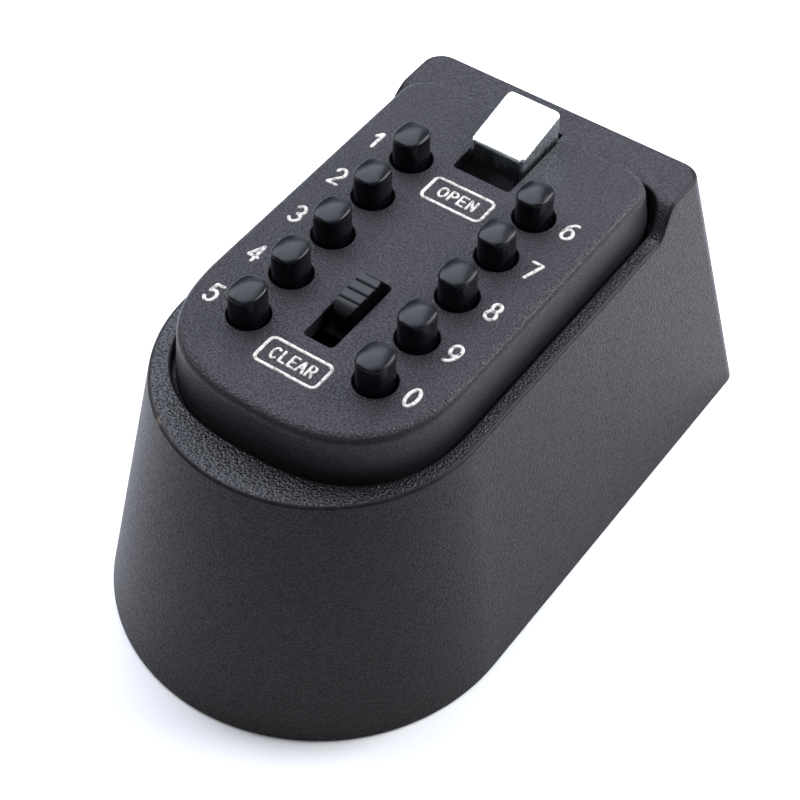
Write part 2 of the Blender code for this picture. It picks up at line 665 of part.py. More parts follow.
def slotted_plate(name, low_z, back_y, travel):
    """A sliding plate with a slot at each code stem, long enough for the plate's travel."""
    bm = bmesh.new()
    rounded_slot(bm, (-SLIDE_HALF_WIDTH, SLIDE_FRONT_Y, low_z),
                 (SLIDE_HALF_WIDTH, back_y, low_z + SLIDE_THICK), SLIDE_CORNER)
    plate = keep(name, bm, "plate_steel")
    bm = bmesh.new()
    half = STEM_SLOT_HALF
    for _, x, y in button_places():
        rounded_slot(bm, (x - half, y - half, low_z - FAR), (x + half, y + half + travel, low_z + FAR),
                     0.9 * half)
    cut(plate, name + "_slots", bm)
    return plate


def make_hold_down_plate():
    """The upper sliding plate, open at its back end where the bolt's leg passes."""
    plate = slotted_plate("hold_down_plate", HOLD_LOW_Z, HOLD_BACK_Y, CLEAR_TRAVEL)
    bm = bmesh.new()
    add_box(bm, (-LEG_WINDOW_HALF, LINK_WINDOW_FRONT_Y, HOLD_LOW_Z - FAR),
            (LEG_WINDOW_HALF, HOLD_BACK_Y + FAR, HOLD_LOW_Z + FAR))
    cut(plate, "link_window", bm)


def make_clear_slider():
    """The ridged knob, the flange that hides its slot, and the foot that moves the hold-down plate."""
    flange_top = LID_TOP_Z - LID_SKIN - GAP
    bm = bmesh.new()
    add_box(bm, (-KNOB_HALF_WIDTH, KNOB_FRONT_Y, flange_top - GAP), (KNOB_HALF_WIDTH, KNOB_BACK_Y, KNOB_TOP_Z))
    slider = keep("clear_slider", bm, "slider_plastic")
    bevel = slider.modifiers.new("Rounded", "BEVEL")
    bevel.width = KNOB_EDGE
    bevel.segments = 2

    bm = bmesh.new()
    add_box(bm, (-CLEAR_FLANGE_HALF_WIDTH, CLEAR_FLANGE_FRONT_Y, flange_top - CLEAR_FLANGE_THICK),
            (CLEAR_FLANGE_HALF_WIDTH, CLEAR_FLANGE_BACK_Y, flange_top))
    join(slider, "clear_flange", bm)
    bm = bmesh.new()
    add_box(bm, (-CLEAR_FOOT_HALF_WIDTH, CLEAR_FOOT_FRONT_Y, HOLD_LOW_Z + SLIDE_THICK + GAP),
            (CLEAR_FOOT_HALF_WIDTH, CLEAR_FOOT_BACK_Y, CLEAR_FOOT_ROOT_Z))
    join(slider, "clear_foot", bm)
    bm = bmesh.new()
    add_box(bm, (CLEAR_EAR_INNER_X, CLEAR_EAR_FRONT_Y, PLATE_HIGH_Z + 2 * GAP),
            (CLEAR_EAR_OUTER_X, CLEAR_EAR_BACK_Y, SPRING_EAR_TOP_Z))
    join(slider, "clear_spring_ear", bm)

    bm = bmesh.new()
    pitch = (KNOB_BACK_Y - KNOB_FRONT_Y) / KNOB_TREADS
    for i in range(1, KNOB_TREADS):
        y = KNOB_FRONT_Y + i * pitch
        add_box(bm, (-FAR, y - KNOB_GROOVE_HALF, KNOB_TOP_Z - KNOB_GROOVE_DEPTH),
                (FAR, y + KNOB_GROOVE_HALF, KNOB_TOP_Z + FAR))
    cut(slider, "knob_grooves", bm)


def make_latch_bolt():
    """The bolt with its narrower nose, and the leg that carries the gate plate along."""
    bm = bmesh.new()
    side = ((BOLT_HALF_WIDTH, BOLT_ROOT_Y), (BOLT_HALF_WIDTH, BOLT_SHOULDER_Y),
            (BOLT_NOSE_HALF_WIDTH, BOLT_SHOULDER_Y), (BOLT_NOSE_HALF_WIDTH, BOLT_TIP_Y))
    plan = side + tuple((-x, y) for x, y in reversed(side))
    add_loft(bm, [[(x, y, z) for x, y in plan] for z in (BOLT_LOW_Z, BOLT_HIGH_Z)])
    bolt = keep("latch_bolt", bm, "plate_steel")
    bm = bmesh.new()
    add_box(bm, (-BOLT_LEG_HALF_WIDTH, BOLT_LEG_FRONT_Y, GATE_LOW_Z + SLIDE_THICK + GAP),
            (BOLT_LEG_HALF_WIDTH, BOLT_LEG_BACK_Y, BOLT_LOW_Z + GAP))
    join(bolt, "bolt_leg", bm)
    bm = bmesh.new()
    add_box(bm, (OPEN_EAR_INNER_X, OPEN_EAR_FRONT_Y, BOLT_LOW_Z + GAP),
            (OPEN_EAR_OUTER_X, OPEN_EAR_BACK_Y, SPRING_EAR_TOP_Z))
    join(bolt, "bolt_spring_ear", bm)


def make_open_lever():
    """The finger pad, higher at its back edge, on a neck that stands on the bolt."""
    bm = bmesh.new()
    outline = ((LEVER_FRONT_Y, LEVER_LOW_Z), (LEVER_BACK_Y, LEVER_LOW_Z), (LEVER_BACK_Y, LEVER_BACK_Z),
               (LEVER_FRONT_Y, LEVER_FRONT_Z))
    add_loft(bm, [[(x, y, z) for y, z in outline] for x in (-LEVER_HALF_WIDTH, LEVER_HALF_WIDTH)])
    lever = keep("open_lever", bm, "lever_metal")
    bevel = lever.modifiers.new("Rounded", "BEVEL")
    bevel.width = LEVER_EDGE
    bevel.segments = 3
    bm = bmesh.new()
    add_box(bm, (-LEVER_NECK_HALF_WIDTH, LEVER_NECK_FRONT_Y, BOLT_HIGH_Z + GAP),
            (LEVER_NECK_HALF_WIDTH, LEVER_NECK_BACK_Y, LEVER_LOW_Z + LEVER_EDGE + GAP))
    join(lever, "lever_neck", bm)


clear_scene()
PARTS = new_collection("key lock box")
CUTTERS = new_collection("cutters")
CUTTERS.hide_render = True
MATERIALS = {name: make_material(name) for name in COLOURS}

make_case()
make_key_tub()
make_lid()
for number, column_x, row_y in button_places():
    make_button(number, column_x, row_y)
    make_button_spring(number, column_x, row_y)
    make_code_stem(number, column_x, row_y)
make_chassis_plate()
make_mechanism_tray()
for number, (boss_x, boss_y) in enumerate(FIXINGS, 1):
    make_screw(number, boss_x, boss_y)
make_hold_down_plate()
slotted_plate("gate_plate", GATE_LOW_Z, GATE_BACK_Y, OPEN_TRAVEL)
make_clear_slider()
make_latch_bolt()
make_open_lever()
make_return_spring("open_spring", OPEN_SPRING_X, OPEN_EAR_BACK_Y, OPEN_ANCHOR_Y)
make_return_spring("clear_spring", CLEAR_SPRING_X, CLEAR_EAR_BACK_Y, CLEAR_ANCHOR_Y)
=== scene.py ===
"""Looks of the key lock box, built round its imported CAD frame.

Lengths are metres in the frame of the CAD: X across the box, +Y to the hooded end, +Z out of the lid.
"""

import math

import bmesh
import bpy
from mathutils import Matrix, Vector


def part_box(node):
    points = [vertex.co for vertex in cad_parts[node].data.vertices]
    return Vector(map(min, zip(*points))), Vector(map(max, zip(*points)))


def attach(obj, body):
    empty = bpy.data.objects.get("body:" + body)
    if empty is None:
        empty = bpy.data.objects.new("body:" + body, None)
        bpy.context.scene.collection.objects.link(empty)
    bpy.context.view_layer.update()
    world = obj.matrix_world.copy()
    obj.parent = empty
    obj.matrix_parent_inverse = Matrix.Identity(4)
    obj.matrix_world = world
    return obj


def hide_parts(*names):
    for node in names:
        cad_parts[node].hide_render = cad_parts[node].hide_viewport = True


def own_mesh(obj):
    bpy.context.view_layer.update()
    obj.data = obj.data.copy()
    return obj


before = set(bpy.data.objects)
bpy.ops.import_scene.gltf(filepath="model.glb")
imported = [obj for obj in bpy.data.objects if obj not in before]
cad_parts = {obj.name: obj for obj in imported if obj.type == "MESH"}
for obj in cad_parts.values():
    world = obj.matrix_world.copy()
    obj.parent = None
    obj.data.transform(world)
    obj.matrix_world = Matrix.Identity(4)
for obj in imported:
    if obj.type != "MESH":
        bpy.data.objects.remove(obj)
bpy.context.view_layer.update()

MM = 0.001

# Case, as in the CAD.
CASE_LOW, CASE_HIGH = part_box("case")
SIDE_DRAFT = 0.1603
ROUND_DRAFT = 0.2215
BACK_DRAFT = 0.174
CASE_CORNER = 3.2 * MM
LEDGE_Z = 42.4 * MM
HOOD_Z = CASE_HIGH.z
HOOD_FOOT_Y = 31.4 * MM
HOOD_LIP_Y = 34.8 * MM
HOOD_FILLET = 0.35
CREST_ROUND = 0.45 * MM
RIM_ROUND = 0.45 * MM
FLOOR_Z = 3.0 * MM
SHELF_Z = 40.2 * MM
CORE_Z = 30.0 * MM
SHELL_WALL = 3.0 * MM
TUB_WALL = 3.0 * MM
CAVITY_HALF_WIDTH = 20.5 * MM
CAVITY_END_Y = 34.3 * MM
RECESS_HALF_WIDTH = 22.5 * MM
RECESS_FRONT_Y = -36.3 * MM
RECESS_BACK_Y = 36.4 * MM
NOTCH_HALF_WIDTH = 5.2 * MM
KEEPER_HALF_WIDTH = 2.8 * MM
KEEPER_BACK_Y = 38.7 * MM
WALL_HOLE_RADIUS = 2.6 * MM
WALL_HOLE_X = 12.0 * MM
WALL_HOLE_Y = 22.0 * MM

# Lid, as in the CAD.
LID_LOW, LID_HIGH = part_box("lid_cover")
LID_TOP_Z = LID_HIGH.z
LID_FOOT_Z = 40.5 * MM
LID_HALF_WIDTH = LID_HIGH.x
LID_FRONT_Y = -35.8 * MM
LID_BACK_Y = 36.0 * MM
LID_CORNER = 4.5 * MM
LID_EDGE = 1.6 * MM
LID_WALL = 2.2 * MM
LID_SKIN = 2.5 * MM
LID_SIDE_LEAN = 0.5 * MM
LID_FRONT_LEAN = 0.6 * MM
LID_BACK_LEAN = 1.2 * MM
ROUND_CENTRE_Y = -14.0 * MM
ROUND_POWER = 2.6
TONGUE_HALF_WIDTH = 6.5 * MM
TONGUE_TIP_Y = -37.5 * MM
TONGUE_LOW_Z = 36.4 * MM
TONGUE_HIGH_Z = 39.4 * MM
FIXING_X = 16.6 * MM
FIXING_YS = (-16.5 * MM, 12.9 * MM)
BOSS_RADIUS = 2.3 * MM
BORE_RADIUS = 1.2 * MM
HOLE_RADIUS = 3.17 * MM
LEVER_SLOT_HALF = 4.9 * MM
LEVER_SLOT_FRONT_Y = 20.1 * MM
CLEAR_SLOT_HALF = 2.5 * MM
CLEAR_SLOT_FRONT_Y = -20.0 * MM
CLEAR_SLOT_BACK_Y = -5.7 * MM

# Buttons, as in the CAD.
BUTTON_RADIUS = 2.87 * MM
BUTTON_FLAT = 2.42 * MM
BUTTON_EDGE = 0.5 * MM
BUTTON_CROWN = 0.38 * MM
CAP_POWER = 2.6
FLANGE_RADIUS = 3.6 * MM
FLANGE_LOW_Z = 46.0 * MM
FLANGE_HIGH_Z = 47.2 * MM
GUIDE_RADIUS = 1.9 * MM
SOCKET_RADIUS = 1.25 * MM
SOCKET_TOP_Z = 43.5 * MM
SPRING_FOOT_Z = 41.3 * MM

# Smoothness of the meshes.
END_STEPS = 44
CORNER_STEPS = 10
BACK_STEPS = 5
ROUND_STEPS = 6
CIRCLE_STEPS = 64
SHARP_ANGLE = math.radians(32)
FAR = 5.0 * MM


# ---------------------------------------------------------------- meshes

def add_loft(bm, rings, material_of=None):
    """Joins closed rings of equally many points into one capped skin."""
    rows = [[bm.verts.new(point) for point in ring] for ring in rings]
    count = len(rows[0])
    for k, (lower, upper) in enumerate(zip(rows, rows[1:])):
        for i in range(count):
            j = (i + 1) % count
            face = bm.faces.new((lower[i], lower[j], upper[j], upper[i]))
            face.material_index = material_of.get(k, 0) if material_of else 0
    bm.faces.new(rows[0])
    bm.faces.new(rows[-1])
    bmesh.ops.remove_doubles(bm, verts=bm.verts, dist=0.0005 * MM)
    bmesh.ops.recalc_face_normals(bm, faces=bm.faces)
    return bm


def loft(rings, material_of=None):
    return add_loft(bmesh.new(), rings, material_of)


def circle(x, y, z, radius, steps=CIRCLE_STEPS):
    turn = 2 * math.pi / steps
    return [(x + radius * math.cos(i * turn), y + radius * math.sin(i * turn), z) for i in range(steps)]


def rounded_rectangle(low, high, radius, steps=6):
    """Plan points of a rectangle with round corners, anticlockwise from the +X +Y corner."""
    points = []
    for x, y, quarter in ((high[0] - radius, high[1] - radius, 0), (low[0] + radius, high[1] - radius, 1),
                          (low[0] + radius, low[1] + radius, 2), (high[0] - radius, low[1] + radius, 3)):
        for i in range(steps + 1):
            angle = math.pi / 2 * (quarter + i / steps)
            points.append((x + radius * math.cos(angle), y + radius * math.sin(angle)))
    return points


def box_bm(low, high):
    low, high = Vector(low), Vector(high)
    bm = bmesh.new()
    place = Matrix.Translation((low + high) / 2) @ Matrix.Diagonal((*(high - low), 1.0))
    bmesh.ops.create_cube(bm, size=1.0, matrix=place)
    return bm


def temporary(bm):
    mesh = bpy.data.meshes.new("temporary")
    bm.to_mesh(mesh)
    bm.free()
    made = bpy.data.objects.new("temporary", mesh)
    bpy.context.scene.collection.objects.link(made)
    return made


def carve(base, *steps):
    """The base mesh after each (operation, mesh) step, as a new bmesh."""
    body = temporary(base)
    tools = []
    for operation, bm in steps:
        tool = temporary(bm)
        tools.append(tool)
        modifier = body.modifiers.new("Boolean", "BOOLEAN")
        modifier.operation = operation
        modifier.object = tool
        modifier.solver = "EXACT"
    bpy.context.view_layer.update()
    depsgraph = bpy.context.evaluated_depsgraph_get()
    mesh = bpy.data.meshes.new_from_object(body.evaluated_get(depsgraph))
    for item in (body, *tools):
        bpy.data.objects.remove(item, do_unlink=True)
    result = bmesh.new()
    result.from_mesh(mesh)
    bpy.data.meshes.remove(mesh)
    bmesh.ops.remove_doubles(result, verts=result.verts, dist=0.001 * MM)
    bmesh.ops.dissolve_degenerate(result, edges=result.edges, dist=0.001 * MM)
    return result


def several(bms):
    """Many separate meshes in one."""
    whole = bmesh.new()
    for bm in bms:
        mesh = bpy.data.meshes.new("part")
        bm.to_mesh(mesh)
        bm.free()
        whole.from_mesh(mesh)
        bpy.data.meshes.remove(mesh)
    return whole


def piece(name, bm, body, materials, nodes=(), bevel=0.0):
    """Puts a finished mesh in the scene as a piece that rides on a body and stands for CAD nodes."""
    bmesh.ops.recalc_face_normals(bm, faces=bm.faces)
    for face in bm.faces:
        face.smooth = True
    for edge in bm.edges:
        edge.smooth = edge.calc_face_angle(0.0) < SHARP_ANGLE
    mesh = bpy.data.meshes.new(name)
    bm.to_mesh(mesh)
    bm.free()
    for material in materials:
        mesh.materials.append(material)
    made = bpy.data.objects.new(name, mesh)
    bpy.context.scene.collection.objects.link(made)
    if bevel:
        rounding = made.modifiers.new("Bevel", "BEVEL")
        rounding.width = bevel
        rounding.segments = 3
        rounding.limit_method = "ANGLE"
        rounding.angle_limit = SHARP_ANGLE
        rounding.use_clamp_overlap = True
    normals = made.modifiers.new("Normals", "WEIGHTED_NORMAL")
    normals.keep_sharp = not bevel
    normals.weight = 80
    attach(made, body)
    if nodes:
        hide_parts(*nodes)
    return made


# ---------------------------------------------------------------- outlines

SIDE_YS = [y * MM for y in (-8, 0, 8, 16, 23, 28, 30.2)]
HOOD_STEPS = [-0.35 + 0.07 * i for i in range(11)] + [0.42, 0.5, 0.58] + [0.65 + 0.07 * i for i in range(11)]
SIDE_YS += [HOOD_FOOT_Y + t * (HOOD_LIP_Y - HOOD_FOOT_Y) for t in HOOD_STEPS]


def half_stations():
    """Where the points of each outline lie, from the middle of the round end up the +X side."""
    found = [("end", math.pi / 2 * i / END_STEPS) for i in range(END_STEPS + 1)]
    found += [("side", y) for y in SIDE_YS]
    found += [("corner", i / CORNER_STEPS) for i in range(CORNER_STEPS + 1)]
    found += [("back", 1 - i / BACK_STEPS) for i in range(1, BACK_STEPS + 1)]
    return found


STATIONS = half_stations()


def station_point(station, half_width, front_y, back_y, corner, centre_y, power):
    kind, t = station
    corner_x, corner_y = half_width - corner, back_y - corner
    if kind == "end":
        across = abs(math.sin(t)) ** (2 / power)
        along = abs(math.cos(t)) ** (2 / power)
        return half_width * across, centre_y - (centre_y - front_y) * along
    last = min(SIDE_YS[-1], corner_y + 0.8 * corner)
    if kind == "side":
        y = t if t <= corner_y else corner_y + (t - corner_y) * (last - corner_y) / (SIDE_YS[-1] - corner_y)
        return corner_x + math.sqrt(corner ** 2 - max(0.0, y - corner_y) ** 2), y
    if kind == "corner":
        start = math.asin(max(0.0, last - corner_y) / corner)
        angle = start + (math.pi / 2 - start) * t
        return corner_x + corner * math.cos(angle), corner_y + corner * math.sin(angle)
    return corner_x * t, back_y


def hood_share(station):
    """0 on the ledge and 1 on the hood, with small fillets where the hood's face begins and ends."""
    kind, y = station
    if kind != "side":
        return 0.0 if kind == "end" else 1.0
    t = (y - HOOD_FOOT_Y) / (HOOD_LIP_Y - HOOD_FOOT_Y)
    r = HOOD_FILLET
    if t <= -r or t >= 1 + r:
        return 0.0 if t < 0.5 else 1.0
    if t < r:
        return (t + r) ** 2 / (4 * r)
    if t > 1 - r:
        return 1 - (1 + r - t) ** 2 / (4 * r)
    return t


def crest_z(station):
    return LEDGE_Z + (HOOD_Z - LEDGE_Z) * hood_share(station)


def whole_ring(half):
    return half + [(-x, y, z) for x, y, z in reversed(half[1:-1])]


def case_ring(height_of, inset=0.0):
    """The drafted outer wall at a height that may differ from station to station."""
    half = []
    for station in STATIONS:
        z = height_of(station)
        half_width = CASE_HIGH.x - SIDE_DRAFT * z - inset
        front_y = CASE_LOW.y + ROUND_DRAFT * z + inset
        back_y = CASE_HIGH.y - BACK_DRAFT * z - inset
        x, y = station_point(station, half_width, front_y, back_y, CASE_CORNER, front_y + half_width, 2.0)
        half.append((x, y, z))
    return whole_ring(half)


def lid_ring(height_of, half_width, front_y, back_y, corner=LID_CORNER):
    """The lid's squarer outline, which the recess, the cavity and the key tub share."""
    half = []
    for station in STATIONS:
        x, y = station_point(station, half_width, front_y, back_y, corner, ROUND_CENTRE_Y, ROUND_POWER)
        half.append((x, y, height_of(station)))
    return whole_ring(half)


def level(z):
    return lambda station: z


def below_crest(drop):
    return lambda station: crest_z(station) - drop


# ---------------------------------------------------------------- nodes for materials

def new_material(name):
    material = bpy.data.materials.new(name)
    material.use_nodes = True
    tree = material.node_tree
    return material, tree, tree.nodes["Principled BSDF"]


def add(tree, kind, **inputs):
    """A node with its sockets set or linked. Keys that aren't sockets are the node's own settings."""
    node = tree.nodes.new(kind)
    for key, value in inputs.items():
        if hasattr(node, key):
            setattr(node, key, value)
    for key, value in inputs.items():
        if hasattr(node, key):
            continue
        socket = node.inputs[key.replace("_", " ")]
        if isinstance(value, bpy.types.NodeSocket):
            tree.links.new(value, socket)
        else:
            socket.default_value = value
    return node


def object_point(tree):
    return add(tree, "ShaderNodeTexCoord").outputs["Object"]


def noise(tree, scale, detail=2.0, roughness=0.5, vector=None):
    node = add(tree, "ShaderNodeTexNoise", Vector=vector or object_point(tree), Scale=scale, Detail=detail,
               Roughness=roughness)
    return node.outputs["Fac"]


def ramp(tree, fac, *stops):
    """A colour ramp through (place, colour) stops."""
    node = add(tree, "ShaderNodeValToRGB", Fac=fac)
    elements = node.color_ramp.elements
    while len(elements) < len(stops):
        elements.new(0.5)
    for element, (place, colour) in zip(elements, stops):
        element.position = place
        element.color = (*colour, 1.0) if len(colour) == 3 else colour
    return node.outputs["Color"]


def grey(value):
    return (value, value, value)


def bump(tree, height, strength, distance, normal=None):
    node = add(tree, "ShaderNodeBump", Height=height, Strength=strength, Distance=distance)
    if normal is not None:
        tree.links.new(normal, node.inputs["Normal"])
    return node.outputs["Normal"]


def link(tree, output, shader, name):
    tree.links.new(output, shader.inputs[name])


# ---------------------------------------------------------------- materials

def powder_coat(name, colour, roughness, grain_scale, grain_depth, specular, contrast):
    """Textured powder coat: leathery grains over a slow unevenness, with a few pale specks."""
    material, tree, shader = new_material(name)
    slow = noise(tree, 90.0, 3.0)
    grain = noise(tree, grain_scale, 1.5, 0.45)
    dark = [c * 0.9 for c in colour]
    light = [c * 1.1 for c in colour]
    base = ramp(tree, slow, (0.3, dark), (0.7, light))
    speck = ramp(tree, noise(tree, 900.0, 1.0), (0.775, grey(0.0)), (0.80, grey(0.6)))
    mixed = add(tree, "ShaderNodeMixRGB", Fac=speck, Color1=base, Color2=(*[c * 3.0 for c in colour], 1.0))
    link(tree, mixed.outputs["Color"], shader, "Base Color")
    rough = ramp(tree, grain, (0.3, grey(roughness + 0.07)), (0.7, grey(roughness - 0.07)))
    link(tree, rough, shader, "Roughness")
    shine = ramp(tree, grain, (0.36, grey(specular * (1 - contrast))), (0.64, grey(specular * (1 + contrast))))
    link(tree, shine, shader, "Specular IOR Level")
    link(tree, bump(tree, grain, 1.0, grain_depth), shader, "Normal")
    return material


def crest_material():
    """The worn crest of the case: smoother and darker than the coat, with a chip down to brassy metal."""
    material, tree, shader = new_material("crest_coat")
    base = ramp(tree, noise(tree, 700.0, 3.0), (0.35, (0.006, 0.005, 0.0055)), (0.7, (0.014, 0.012, 0.013)))
    away = add(tree, "ShaderNodeVectorMath", operation="DISTANCE")
    tree.links.new(object_point(tree), away.inputs[0])
    away.inputs[1].default_value = CHIP_PLACE
    chip = add(tree, "ShaderNodeMapRange", Value=away.outputs["Value"], From_Min=0.3 * MM, From_Max=0.9 * MM,
               To_Min=0.4, To_Max=0.0).outputs["Result"]
    mixed = add(tree, "ShaderNodeMixRGB", Fac=chip, Color1=base, Color2=(0.21, 0.16, 0.10, 1.0))
    link(tree, mixed.outputs["Color"], shader, "Base Color")
    shader.inputs["Roughness"].default_value = 0.42
    shader.inputs["Specular IOR Level"].default_value = 0.15
    link(tree, bump(tree, noise(tree, 1500.0, 2.0), 0.25, 0.02 * MM), shader, "Normal")
    return material


def moulded_plastic(name, colour, roughness, specular=0.35):
    """Black moulded plastic, handled to a soft shine with faint smears."""
    material, tree, shader = new_material(name)
    smear = noise(tree, 420.0, 3.0, 0.6)
    link(tree, ramp(tree, smear, (0.35, colour), (0.8, [c * 1.8 for c in colour])), shader, "Base Color")
    link(tree, ramp(tree, smear, (0.35, grey(roughness)), (0.75, grey(roughness + 0.1))), shader, "Roughness")
    link(tree, bump(tree, noise(tree, 500.0, 2.0), 0.5, 0.008 * MM), shader, "Normal")
    shader.inputs["Specular IOR Level"].default_value = specular
    return material


def plated_metal():
    """Bright plating over a die casting: slightly uneven, with hairline scratches."""
    material, tree, shader = new_material("plated_lever")
    shader.inputs["Metallic"].default_value = 1.0
    base = ramp(tree, noise(tree, 260.0, 4.0), (0.3, (0.66, 0.74, 0.75)), (0.7, (0.82, 0.87, 0.87)))
    link(tree, base, shader, "Base Color")
    stretched = add(tree, "ShaderNodeMapping", Vector=object_point(tree), Scale=(300.0, 4200.0, 300.0))
    scratch = noise(tree, 1.0, 3.0, 0.5, stretched.outputs["Vector"])
    link(tree, ramp(tree, scratch, (0.35, grey(0.2)), (0.75, grey(0.34))), shader, "Roughness")
    dents = bump(tree, noise(tree, 240.0, 2.0), 0.35, 0.015 * MM)
    link(tree, bump(tree, scratch, 0.2, 0.004 * MM, dents), shader, "Normal")
    return material


def bare_metal(name, colour, roughness, stretch=(400.0, 3600.0, 400.0), metallic=1.0):
    """Pressed or turned metal with rolling lines and light tarnish."""
    material, tree, shader = new_material(name)
    shader.inputs["Metallic"].default_value = metallic
    cloud = noise(tree, 160.0, 4.0, 0.6)
    base = ramp(tree, cloud, (0.3, [c * 0.78 for c in colour]), (0.7, colour))
    link(tree, base, shader, "Base Color")
    lines = add(tree, "ShaderNodeMapping", Vector=object_point(tree), Scale=stretch)
    line = noise(tree, 1.0, 3.0, 0.5, lines.outputs["Vector"])
    link(tree, ramp(tree, line, (0.3, grey(roughness - 0.08)), (0.7, grey(roughness + 0.1))), shader, "Roughness")
    link(tree, bump(tree, line, 0.25, 0.008 * MM), shader, "Normal")
    return material


def marking_paint():
    """White paint rolled on to raised strokes, thin in places."""
    material, tree, shader = new_material("marking_paint")
    patch = noise(tree, 1500.0, 3.0, 0.6)
    base = ramp(tree, patch, (0.36, (0.20, 0.19, 0.17)), (0.49, (0.50, 0.48, 0.43)), (0.7, (0.62, 0.61, 0.56)))
    link(tree, base, shader, "Base Color")
    shader.inputs["Roughness"].default_value = 0.5
    link(tree, bump(tree, patch, 0.3, 0.02 * MM), shader, "Normal")
    return material


# ---------------------------------------------------------------- case

def tub_ring(z, wall):
    end_y = CAVITY_END_Y + wall
    return lid_ring(level(z), CAVITY_HALF_WIDTH + wall, -end_y, end_y)


def recess_ring(height_of, outset=0.0):
    return lid_ring(height_of, RECESS_HALF_WIDTH + outset, RECESS_FRONT_Y - outset, RECESS_BACK_Y + outset,
                    LID_CORNER + outset)


def case_rings():
    """Every ring of the case from the underside of the key tub, out and over the crest, to the tub's floor."""
    rings = [tub_ring(0.0, TUB_WALL), tub_ring(CORE_Z, TUB_WALL)]
    rings += [case_ring(level(CORE_Z), SHELL_WALL), case_ring(level(0.0), SHELL_WALL)]
    rings += [case_ring(level(0.0), RIM_ROUND), case_ring(level(RIM_ROUND / 3), RIM_ROUND / 3)]
    rings += [case_ring(level(RIM_ROUND)), case_ring(below_crest(2 * MM))]
    first_crest = len(rings)
    for i in range(ROUND_STEPS + 1):
        angle = math.pi / 2 * i / ROUND_STEPS
        drop = CREST_ROUND * (1 - math.sin(angle))
        rings.append(case_ring(below_crest(drop), CREST_ROUND * (1 - math.cos(angle))))
    last_crest = len(rings) - 1
    for i in range(ROUND_STEPS + 1):
        angle = math.pi / 2 * i / ROUND_STEPS
        rings.append(recess_ring(below_crest(RIM_ROUND * (1 - math.cos(angle))), RIM_ROUND * (1 - math.sin(angle))))
    rings.append(recess_ring(level(SHELF_Z)))
    rings += [tub_ring(SHELF_Z, 0.0), tub_ring(FLOOR_Z, 0.0)]
    worn = {k: 1 for k in range(first_crest, last_crest)}
    worn[last_crest] = 2
    return rings, worn


def make_case(coat, crest, ledge, hood):
    rings, worn = case_rings()
    keeper = box_bm((-KEEPER_HALF_WIDTH, RECESS_BACK_Y - FAR / 4, 40.8 * MM),
                    (KEEPER_HALF_WIDTH, KEEPER_BACK_Y, HOOD_Z + FAR))
    tongue = box_bm((-8.17 * MM, -38.4 * MM, 35.5 * MM), (8.17 * MM, -29.3 * MM, 40.9 * MM))
    holes = several([countersunk_hole(x, y) for x in (-WALL_HOLE_X, WALL_HOLE_X) for y in (-WALL_HOLE_Y, WALL_HOLE_Y)])
    bm = carve(loft(rings, worn), ("DIFFERENCE", keeper), ("DIFFERENCE", tongue), ("DIFFERENCE", holes))
    for face in bm.faces:
        if face.material_index == 2 and face.calc_center_median().y > HOOD_FOOT_Y:
            face.material_index = 3
    return piece("case_body", bm, "case", (coat, crest, ledge, hood), ("case", "key_tub"))


def countersunk_hole(x, y):
    r = WALL_HOLE_RADIUS
    return loft([circle(x, y, -FAR, r, 40), circle(x, y, FLOOR_Z - 0.4 * MM, r, 40),
                 circle(x, y, FLOOR_Z + 0.4 * MM, r + 0.8 * MM, 40), circle(x, y, FLOOR_Z + FAR, r + 0.8 * MM, 40)])


# ---------------------------------------------------------------- lid

EDGE_FLARE = ((-FAR, 0.0), (-0.26 * MM, 0.0), (-0.12 * MM, 0.05 * MM), (-0.03 * MM, 0.14 * MM),
              (0.02 * MM, 0.28 * MM), (FAR, 0.28 * MM))


def flared_hole(x, y):
    """A cutter for a button hole whose upper edge is rounded over."""
    return loft([circle(x, y, LID_TOP_Z + rise, HOLE_RADIUS + out) for rise, out in EDGE_FLARE])


def flared_slot(low, high, radius):
    rings = []
    for rise, out in EDGE_FLARE:
        plan = rounded_rectangle((low[0] - out, low[1] - out), (high[0] + out, high[1] + out), radius + out)
        rings.append([(x, y, LID_TOP_Z + rise) for x, y in plan])
    return loft(rings)


def lid_rings():
    """The lid's shell from the middle of its inside, out under its foot and up over its rounded edge."""
    wall = LID_WALL
    inner = (LID_HALF_WIDTH - wall, LID_FRONT_Y + wall, LID_BACK_Y - wall - 0.3 * MM, LID_CORNER - 1 * MM)
    rings = [lid_ring(level(LID_TOP_Z - LID_SKIN), *inner), lid_ring(level(LID_FOOT_Z), *inner)]
    rings += [lid_ring(level(LID_FOOT_Z), LID_HALF_WIDTH - 0.2 * MM, LID_FRONT_Y + 0.2 * MM, LID_BACK_Y - 0.2 * MM),
              lid_ring(level(LID_FOOT_Z + 0.2 * MM), LID_HALF_WIDTH, LID_FRONT_Y, LID_BACK_Y)]
    steps = 2 * ROUND_STEPS
    for i in range(steps + 1):
        angle = math.pi / 2 * i / steps
        inset = LID_EDGE * (1 - math.cos(angle))
        z = LID_TOP_Z - LID_EDGE * (1 - math.sin(angle))
        rings.append(lid_ring(level(z), LID_HALF_WIDTH - LID_SIDE_LEAN - inset,
                              LID_FRONT_Y + LID_FRONT_LEAN + inset, LID_BACK_Y - LID_BACK_LEAN - inset / 2))
    return rings


def button_centres():
    for digit in range(10):
        low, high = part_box("button_%d" % digit)
        yield digit, (low.x + high.x) / 2, (low.y + high.y) / 2


